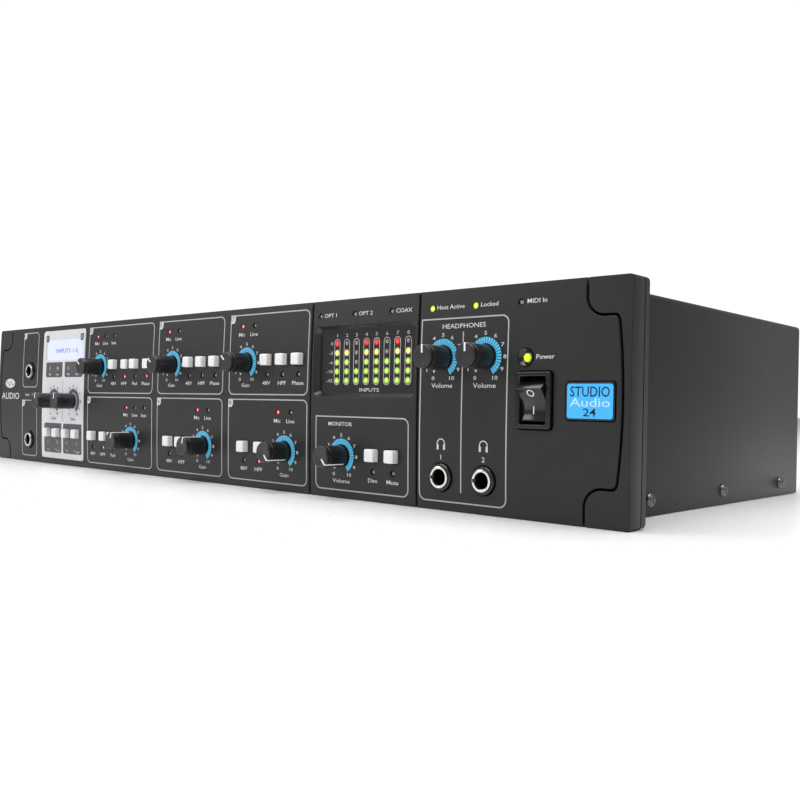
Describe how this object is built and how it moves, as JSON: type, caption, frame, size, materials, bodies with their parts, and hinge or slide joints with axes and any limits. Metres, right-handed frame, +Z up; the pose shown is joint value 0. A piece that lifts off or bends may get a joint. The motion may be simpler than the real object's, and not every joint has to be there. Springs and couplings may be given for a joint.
{
  "type": "rack audio interface",
  "caption": "Two-unit rack audio interface with input channels, a display inlay, level meters, headphone outputs and a rocker power switch",
  "frame": {"origin": "centre of the chassis bottom, on the surface that the unit rests on", "axes": "+X to the right as seen from the front, +Y from the front panel to the rear panel, +Z up"},
  "size_m": [0.4826, 0.238, 0.0883],
  "materials": {
    "panel": "satin grey",
    "steel": "fine-textured black powder coat",
    "knob": "matte",
    "button": "satin white",
    "inlay": "satin silver",
    "window": "clear over a lit display",
    "meter": "smoked gloss",
    "black": "satin",
    "board": "solder mask",
    "badge": "gloss"
  },
  "bodies": {
    "chassis": {"fascia": "panel", "left_end_cap": "panel", "right_end_cap": "panel", "preamp_inlay": "inlay", "display_window": "window", "meter_window": "meter", "display_module": "board", "badge": "badge", "power_light": "black", "switch_frame": "black", "instrument_jack_1": "black", "instrument_jack_2": "black", "phones_jack_1": "black", "phones_jack_2": "black", "control_board": "board", "rack_plate": "steel", "top_cover": "steel", "chassis_tray": "steel", "rear_panel": "steel", "input_board": "board", "output_board": "board", "digital_board": "board", "mains_inlet": "black", "main_board": "board", "power_supply": "board"},
    "knob_instrument_1": {"knob_instrument_1": "knob"},
    "knob_instrument_2": {"knob_instrument_2": "knob"},
    "knob_gain_3": {"knob_gain_3": "knob"},
    "knob_gain_4": {"knob_gain_4": "knob"},
    "knob_gain_5": {"knob_gain_5": "knob"},
    "knob_gain_6": {"knob_gain_6": "knob"},
    "knob_gain_7": {"knob_gain_7": "knob"},
    "knob_gain_8": {"knob_gain_8": "knob"},
    "knob_monitor": {"knob_monitor": "knob"},
    "knob_phones_1": {"knob_phones_1": "knob"},
    "knob_phones_2": {"knob_phones_2": "knob"},
    "button_pad_1": {"button_pad_1": "button"},
    "button_phase_1": {"button_phase_1": "button"},
    "button_pad_2": {"button_pad_2": "button"},
    "button_phase_2": {"button_phase_2": "button"},
    "button_48v_3": {"button_48v_3": "button"},
    "button_hpf_3": {"button_hpf_3": "button"},
    "button_pad_3": {"button_pad_3": "button"},
    "button_phase_3": {"button_phase_3": "button"},
    "button_48v_4": {"button_48v_4": "button"},
    "button_hpf_4": {"button_hpf_4": "button"},
    "button_pad_4": {"button_pad_4": "button"},
    "button_48v_5": {"button_48v_5": "button"},
    "button_hpf_5": {"button_hpf_5": "button"},
    "button_phase_5": {"button_phase_5": "button"},
    "button_48v_6": {"button_48v_6": "button"},
    "button_hpf_6": {"button_hpf_6": "button"},
    "button_48v_7": {"button_48v_7": "button"},
    "button_hpf_7": {"button_hpf_7": "button"},
    "button_phase_7": {"button_phase_7": "button"},
    "button_48v_8": {"button_48v_8": "button"},
    "button_hpf_8": {"button_hpf_8": "button"},
    "button_dim": {"button_dim": "button"},
    "button_mute": {"button_mute": "button"},
    "power_rocker": {"power_rocker": "black"}
  },
  "joints": [
    {"name": "knob_instrument_1_turn", "type": "hinge", "parent": "chassis", "child": "knob_instrument_1", "pos_m": [-0.1618, -0.1134, 0.0404], "axis": [0, 1, 0], "range_deg": [-150, 150]},
    {"name": "knob_instrument_2_turn", "type": "hinge", "parent": "chassis", "child": "knob_instrument_2", "pos_m": [-0.1373, -0.1134, 0.0404], "axis": [0, 1, 0], "range_deg": [-150, 150]},
    {"name": "knob_gain_3_turn", "type": "hinge", "parent": "chassis", "child": "knob_gain_3", "pos_m": [-0.1061, -0.1134, 0.0612], "axis": [0, 1, 0], "range_deg": [-102, 198]},
    {"name": "knob_gain_4_turn", "type": "hinge", "parent": "chassis", "child": "knob_gain_4", "pos_m": [-0.0711, -0.1134, 0.0188], "axis": [0, 1, 0], "range_deg": [-167, 133]},
    {"name": "knob_gain_5_turn", "type": "hinge", "parent": "chassis", "child": "knob_gain_5", "pos_m": [-0.03075, -0.1134, 0.0612], "axis": [0, 1, 0], "range_deg": [-103, 197]},
    {"name": "knob_gain_6_turn", "type": "hinge", "parent": "chassis", "child": "knob_gain_6", "pos_m": [-0.0018, -0.1134, 0.0188], "axis": [0, 1, 0], "range_deg": [-165, 135]},
    {"name": "knob_gain_7_turn", "type": "hinge", "parent": "chassis", "child": "knob_gain_7", "pos_m": [0.03325, -0.1134, 0.0612], "axis": [0, 1, 0], "range_deg": [-103, 197]},
    {"name": "knob_gain_8_turn", "type": "hinge", "parent": "chassis", "child": "knob_gain_8", "pos_m": [0.0629, -0.1134, 0.0188], "axis": [0, 1, 0], "range_deg": [-290, 10]},
    {"name": "knob_monitor_turn", "type": "hinge", "parent": "chassis", "child": "knob_monitor", "pos_m": [0.1015, -0.1134, 0.0188], "axis": [0, 1, 0], "range_deg": [-286, 14]},
    {"name": "knob_phones_1_turn", "type": "hinge", "parent": "chassis", "child": "knob_phones_1", "pos_m": [0.1585, -0.1134, 0.061], "axis": [0, 1, 0], "range_deg": [-150, 150]},
    {"name": "knob_phones_2_turn", "type": "hinge", "parent": "chassis", "child": "knob_phones_2", "pos_m": [0.1796, -0.1134, 0.061], "axis": [0, 1, 0], "range_deg": [-150, 150]},
    {"name": "button_pad_1_push", "type": "slide", "parent": "chassis", "child": "button_pad_1", "axis": [0, 1, 0], "range_m": [0, 0.002]},
    {"name": "button_phase_1_push", "type": "slide", "parent": "chassis", "child": "button_phase_1", "axis": [0, 1, 0], "range_m": [0, 0.002]},
    {"name": "button_pad_2_push", "type": "slide", "parent": "chassis", "child": "button_pad_2", "axis": [0, 1, 0], "range_m": [0, 0.002]},
    {"name": "button_phase_2_push", "type": "slide", "parent": "chassis", "child": "button_phase_2", "axis": [0, 1, 0], "range_m": [0, 0.002]},
    {"name": "button_48v_3_push", "type": "slide", "parent": "chassis", "child": "button_48v_3", "axis": [0, 1, 0], "range_m": [0, 0.002]},
    {"name": "button_hpf_3_push", "type": "slide", "parent": "chassis", "child": "button_hpf_3", "axis": [0, 1, 0], "range_m": [-0.0015, 0.0005]},
    {"name": "button_pad_3_push", "type": "slide", "parent": "chassis", "child": "button_pad_3", "axis": [0, 1, 0], "range_m": [0, 0.002]},
    {"name": "button_phase_3_push", "type": "slide", "parent": "chassis", "child": "button_phase_3", "axis": [0, 1, 0], "range_m": [-0.0015, 0.0005]},
    {"name": "button_48v_4_push", "type": "slide", "parent": "chassis", "child": "button_48v_4", "axis": [0, 1, 0], "range_m": [0, 0.002]},
    {"name": "button_hpf_4_push", "type": "slide", "parent": "chassis", "child": "button_hpf_4", "axis": [0, 1, 0], "range_m": [-0.0015, 0.0005]},
    {"name": "button_pad_4_push", "type": "slide", "parent": "chassis", "child": "button_pad_4", "axis": [0, 1, 0], "range_m": [0, 0.002]},
    {"name": "button_48v_5_push", "type": "slide", "parent": "chassis", "child": "button_48v_5", "axis": [0, 1, 0], "range_m": [0, 0.002]},
    {"name": "button_hpf_5_push", "type": "slide", "parent": "chassis", "child": "button_hpf_5", "axis": [0, 1, 0], "range_m": [0, 0.002]},
    {"name": "button_phase_5_push", "type": "slide", "parent": "chassis", "child": "button_phase_5", "axis": [0, 1, 0], "range_m": [0, 0.002]},
    {"name": "button_48v_6_push", "type": "slide", "parent": "chassis", "child": "button_48v_6", "axis": [0, 1, 0], "range_m": [0, 0.002]},
    {"name": "button_hpf_6_push", "type": "slide", "parent": "chassis", "child": "button_hpf_6", "axis": [0, 1, 0], "range_m": [0, 0.002]},
    {"name": "button_48v_7_push", "type": "slide", "parent": "chassis", "child": "button_48v_7", "axis": [0, 1, 0], "range_m": [0, 0.002]},
    {"name": "button_hpf_7_push", "type": "slide", "parent": "chassis", "child": "button_hpf_7", "axis": [0, 1, 0], "range_m": [0, 0.002]},
    {"name": "button_phase_7_push", "type": "slide", "parent": "chassis", "child": "button_phase_7", "axis": [0, 1, 0], "range_m": [0, 0.002]},
    {"name": "button_48v_8_push", "type": "slide", "parent": "chassis", "child": "button_48v_8", "axis": [0, 1, 0], "range_m": [0, 0.002]},
    {"name": "button_hpf_8_push", "type": "slide", "parent": "chassis", "child": "button_hpf_8", "axis": [0, 1, 0], "range_m": [-0.0015, 0.0005]},
    {"name": "button_dim_push", "type": "slide", "parent": "chassis", "child": "button_dim", "axis": [0, 1, 0], "range_m": [0, 0.002]},
    {"name": "button_mute_push", "type": "slide", "parent": "chassis", "child": "button_mute", "axis": [0, 1, 0], "range_m": [0, 0.002]},
    {"name": "power_rocker_tilt", "type": "hinge", "parent": "chassis", "child": "power_rocker", "pos_m": [0.20245, -0.111, 0.0445], "axis": [-1, 0, 0], "range_deg": [0, 32]}
  ]
}
